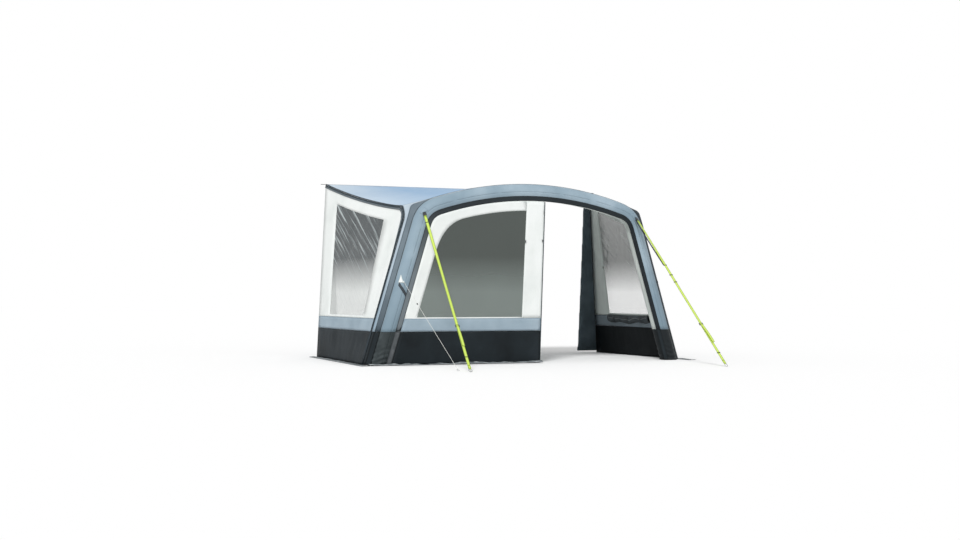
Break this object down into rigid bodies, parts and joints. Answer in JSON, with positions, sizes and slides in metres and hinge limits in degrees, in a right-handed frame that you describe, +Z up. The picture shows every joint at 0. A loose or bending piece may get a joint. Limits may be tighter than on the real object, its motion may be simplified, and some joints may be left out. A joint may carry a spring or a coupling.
{
  "type": "caravan awning",
  "caption": "Inflatable caravan awning with one air beam, sloping side walls with windows, half of its front panel in place, roof poles and storm straps.",
  "frame": {"origin": "on the ground, at the middle of the footprint without the straps and the guy line", "axes": "+X to the right seen from the front, +Y towards the caravan, +Z up"},
  "size_m": [4.6556, 4.1666, 2.4035],
  "materials": {
    "sleeve_cloth": "coated woven polyester",
    "roof_cloth": "coated woven polyester",
    "white_cloth": "coated woven polyester",
    "band_cloth": "coated woven polyester",
    "skirt_cloth": "heavy coated woven polyester",
    "trim_cloth": "coated woven binding",
    "clear_film": "clear vinyl film",
    "pad_cloth": "cloth-covered foam",
    "lime_webbing": "flat woven webbing",
    "black_plastic": "moulded",
    "tube_metal": "drawn tube, satin",
    "ring_metal": "zinc-plated wire",
    "beam_film": "welded polyurethane film",
    "white_rope": "braided cord"
  },
  "bodies": {
    "awning": {"air_beam": "beam_film", "arch_sleeve": "sleeve_cloth", "blind_roll_left": "skirt_cloth", "blind_roll_right": "skirt_cloth", "foot_pad_left": "black_plastic", "foot_pad_right": "black_plastic", "front_band": "band_cloth", "front_mud_flap": "skirt_cloth", "front_mullion": "white_cloth", "front_skirt": "skirt_cloth", "front_surround": "white_cloth", "front_window": "clear_film", "gusset_left": "roof_cloth", "gusset_right": "roof_cloth", "guy_ring": "ring_metal", "guy_rope": "white_rope", "guy_tab": "white_cloth", "inner_trim": "trim_cloth", "mud_flap_left": "skirt_cloth", "mud_flap_right": "skirt_cloth", "outer_trim": "trim_cloth", "peg_ring_left": "ring_metal", "peg_ring_right": "ring_metal", "pole_centre_outer_tube": "tube_metal", "pole_left_outer_tube": "tube_metal", "pole_right_outer_tube": "tube_metal", "rail_bead": "trim_cloth", "roof_panel": "roof_cloth", "seal_pad_left": "pad_cloth", "seal_pad_right": "pad_cloth", "sleeve_boot_left": "skirt_cloth", "sleeve_boot_right": "skirt_cloth", "storm_strap_left": "lime_webbing", "storm_strap_right": "lime_webbing", "strap_clip_left": "black_plastic", "strap_clip_right": "black_plastic", "valve_body": "black_plastic", "wall_band_left": "band_cloth", "wall_band_right": "band_cloth", "wall_piping_left": "trim_cloth", "wall_piping_right": "trim_cloth", "wall_skirt_left": "skirt_cloth", "wall_skirt_right": "skirt_cloth", "wall_surround_left": "white_cloth", "wall_surround_right": "white_cloth", "wall_window_left": "clear_film", "wall_window_right": "clear_film", "zip_tape": "black_plastic"},
    "pole_left_slider": {"pole_left_inner_tube": "tube_metal"},
    "pole_centre_slider": {"pole_centre_inner_tube": "tube_metal"},
    "pole_right_slider": {"pole_right_inner_tube": "tube_metal"},
    "pole_left_clamp_lever": {"pole_left_lever": "black_plastic"},
    "pole_centre_clamp_lever": {"pole_centre_lever": "black_plastic"},
    "pole_right_clamp_lever": {"pole_right_lever": "black_plastic"},
    "strap_left_tensioner": {"strap_buckle_left": "black_plastic"},
    "strap_right_tensioner": {"strap_buckle_right": "black_plastic"},
    "guy_tensioner": {"guy_slider": "black_plastic"},
    "door_zip_slider": {"zip_slider": "black_plastic"},
    "door_zip_pull": {"zip_pull": "black_plastic"},
    "valve_lid": {"valve_cap": "black_plastic"}
  },
  "joints": [
    {"name": "pole_left_slide", "type": "slide", "parent": "awning", "child": "pole_left_slider", "axis": [0, 0.99, 0.1414], "range_m": [-0.25, 0]},
    {"name": "pole_centre_slide", "type": "slide", "parent": "awning", "child": "pole_centre_slider", "axis": [0, 0.9979, 0.0653], "range_m": [-0.25, 0]},
    {"name": "pole_right_slide", "type": "slide", "parent": "awning", "child": "pole_right_slider", "axis": [0, 0.99, 0.1414], "range_m": [-0.25, 0]},
    {"name": "pole_left_lever_turn", "type": "hinge", "parent": "awning", "child": "pole_left_clamp_lever", "pos_m": [-1.2, 0.35007, 2.17125], "axis": [1, 0, 0], "range_deg": [0, 100]},
    {"name": "pole_centre_lever_turn", "type": "hinge", "parent": "awning", "child": "pole_centre_clamp_lever", "pos_m": [0, 0.35809, 2.24588], "axis": [1, 0, 0], "range_deg": [0, 100]},
    {"name": "pole_right_lever_turn", "type": "hinge", "parent": "awning", "child": "pole_right_clamp_lever", "pos_m": [1.2, 0.35007, 2.17125], "axis": [1, 0, 0], "range_deg": [0, 100]},
    {"name": "strap_left_adjust", "type": "slide", "parent": "awning", "child": "strap_left_tensioner", "axis": [-0.0141, -0.6614, -0.7499], "range_m": [-0.3, 0.3]},
    {"name": "strap_right_adjust", "type": "slide", "parent": "awning", "child": "strap_right_tensioner", "axis": [0.1325, -0.6556, -0.7434], "range_m": [-0.3, 0.3]},
    {"name": "guy_adjust", "type": "slide", "parent": "awning", "child": "guy_tensioner", "axis": [0.105, -0.8034, -0.5861], "range_m": [-0.3, 0.9]},
    {"name": "zip_run", "type": "slide", "parent": "awning", "child": "door_zip_slider", "axis": [0.0354, 0, 0.9994], "range_m": [-0.08, 1.84]},
    {"name": "zip_pull_swing", "type": "hinge", "parent": "door_zip_slider", "child": "door_zip_pull", "pos_m": [0.09425, -1.1961, 0.12], "axis": [-0.9994, 0, 0.0354], "range_deg": [0, 150]},
    {"name": "valve_cap_hinge", "type": "hinge", "parent": "awning", "child": "valve_lid", "pos_m": [1.78791, -0.97398, 0.76734], "axis": [0.9532, 0.098, 0.2859], "range_deg": [0, 120]}
  ]
}
